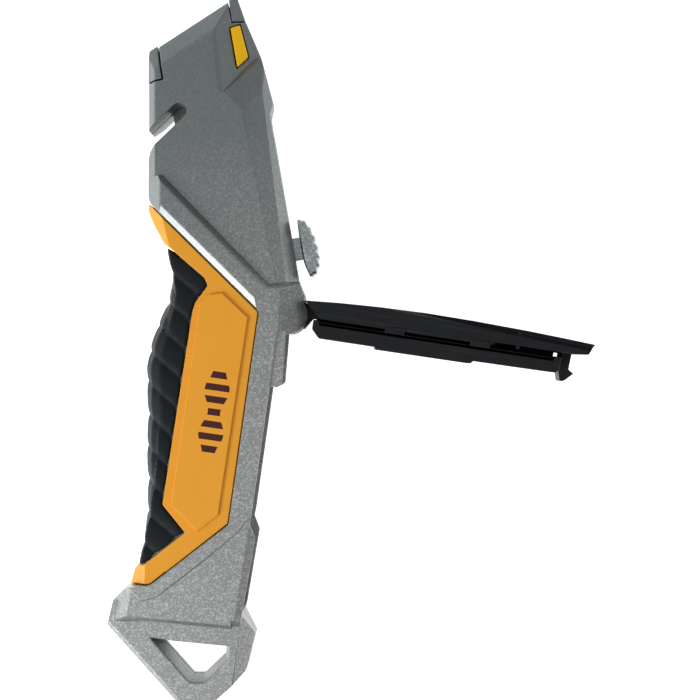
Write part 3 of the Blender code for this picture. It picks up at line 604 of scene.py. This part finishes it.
def add_arm_block(bm, a_low, a_high, b_low, b_high, w_low, w_high):
    """A box in the arm's coordinates, in millimetres."""
    size = Matrix.Diagonal(((a_high - a_low) * MM, (b_high - b_low) * MM, (w_high - w_low) * MM, 1.0))
    middle = Vector(((a_low + a_high) / 2, (b_low + b_high) / 2, (w_low + w_high) / 2)) * MM
    bmesh.ops.create_cube(bm, size=1.0, matrix=ARM @ Matrix.Translation(middle) @ size)


def soft_edges(piece, width):
    """Rounds every edge of a piece a little."""
    bevel = piece.modifiers.new("edges", "BEVEL")
    bevel.width = width
    bevel.segments = 2
    return piece


def clip_ribs():
    """The fine ribs on both sides of the two clips."""
    bm = bmesh.new()
    for near, far in ((-CLIP_RIB_TOP, -CLIP_FACE), (CLIP_FACE, CLIP_RIB_TOP)):
        for start, end in CLIPS:
            count = int((end - start - CLIP_END_ROOM) / CLIP_RIB_SPACING)
            for index in range(count + 1):
                place = start + CLIP_MARGIN + index * CLIP_RIB_SPACING
                add_arm_block(bm, place, place + CLIP_RIB_WIDTH, *CLIP_RIB_HEIGHT, near, far)
    return soft_edges(new_piece("clip_ribs", bm, "magazine_cover"), 0.08 * MM)


def magazine_liner():
    """A plate that closes the far side of the gap between the cover and the tray."""
    bm = bmesh.new()
    add_arm_block(bm, *LINER)
    return soft_edges(new_piece("magazine_liner", bm, "magazine_cover"), 0.1 * MM)


surface(clip_ribs(), black)
surface(magazine_liner(), black)

# Springs, each on a mesh of its own; in the knife they shorten when the knob or the button is pressed


def spring_piece(node):
    """A piece with a mesh of its own for a spring, which in the knife shortens along an axis towards the
    end that stays put.
    """
    bm = bmesh.new()
    bm.from_mesh(nodes[node].data)
    piece = new_piece("fine_" + node, bm, node, node)
    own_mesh(piece)
    return piece


surface(spring_piece("knob_spring"), spring_steel)
surface(spring_piece("release_spring"), spring_steel)

# Nodes that keep their shape

for name in nodes:
    if name.startswith("spare_blade"):
        # The spare blades take the steel with painted shade
        surface(nodes[name], shaded_spare_steel)
    elif name == "cutting_blade":
        surface(nodes[name], steel)
    elif name.startswith(("blade_retainer", "detent", "magazine_hinge")):
        surface(nodes[name], spring_steel)
    elif name.startswith("body_screw"):
        surface(nodes[name], zinc)

# Floor, light and camera

FLOOR_HEIGHT = -0.4 * MM


def floor_finish():
    """A white sheet that glows a little, so that shadows on it stay faint."""
    made = Finish("floor", {"Emission Strength": 0.95, "Emission Color": (1, 1, 1, 1)})
    made.colour(made.mix(made.noise(6, 2.0), (0.88, 0.88, 0.88), (0.9, 0.9, 0.9)))
    made.roughness(made.span(made.noise(40, 2.0), 0.3, 0.7, 0.85, 0.95))
    return made.material


bpy.ops.mesh.primitive_plane_add(size=4, location=(0, 0, FLOOR_HEIGHT))
floor = bpy.context.object
floor.name = "floor"
surface(floor, floor_finish())



def studio_world():
    """White surroundings that are dimmer on the spine's side."""
    world = bpy.data.worlds.new("studio")
    world.use_nodes = True
    tree = world.node_tree
    sky = tree.nodes["Background"]
    sky.inputs["Color"].default_value = (1, 1, 1, 1)
    direction = add_node(tree, "ShaderNodeTexCoord", {}).outputs["Generated"]
    heading = add_node(tree, "ShaderNodeSeparateXYZ", {"Vector": direction}).outputs["X"]
    dimming = {"Value": heading, "From Min": -1.0, "From Max": 0.8, "To Min": 0.79, "To Max": 0.38}
    strength = add_node(tree, "ShaderNodeMapRange", dimming).outputs["Result"]
    tree.links.new(strength, sky.inputs["Strength"])
    return world


bpy.context.scene.world = studio_world()
bpy.context.scene.view_settings.view_transform = "Standard"


def softbox(name, place, aim, size, power):
    """A rectangular light that faces a point."""
    light = bpy.data.lights.new(name, "AREA")
    light.shape = "RECTANGLE"
    light.size, light.size_y = size
    light.energy = power
    lamp = bpy.data.objects.new(name, light)
    bpy.context.scene.collection.objects.link(lamp)
    lamp.location = place
    lamp.rotation_euler = (Vector(aim) - Vector(place)).to_track_quat("-Z", "Y").to_euler()


softbox("tail_light", (-0.12, -0.28, 0.6), (-0.02, -0.06, 0), (0.34, 0.26), 0.14)
softbox("palm_light", (-0.44, -0.20, 0.40), (0, 0, 0), (0.2, 0.3), 1.8)
softbox("spine_light", (0.45, 0.1, 0.30), (0, 0, 0), (0.3, 0.3), 0.1)

camera_data = bpy.data.cameras.new("camera")
camera_data.sensor_width = 36
camera_data.lens = 78.84
camera_data.clip_start = 0.01
camera = bpy.data.objects.new("camera", camera_data)
bpy.context.scene.collection.objects.link(camera)
camera.location = (0.026, -0.012, 0.420)
camera.rotation_euler = (0, 0, math.radians(-10))
bpy.context.scene.camera = camera
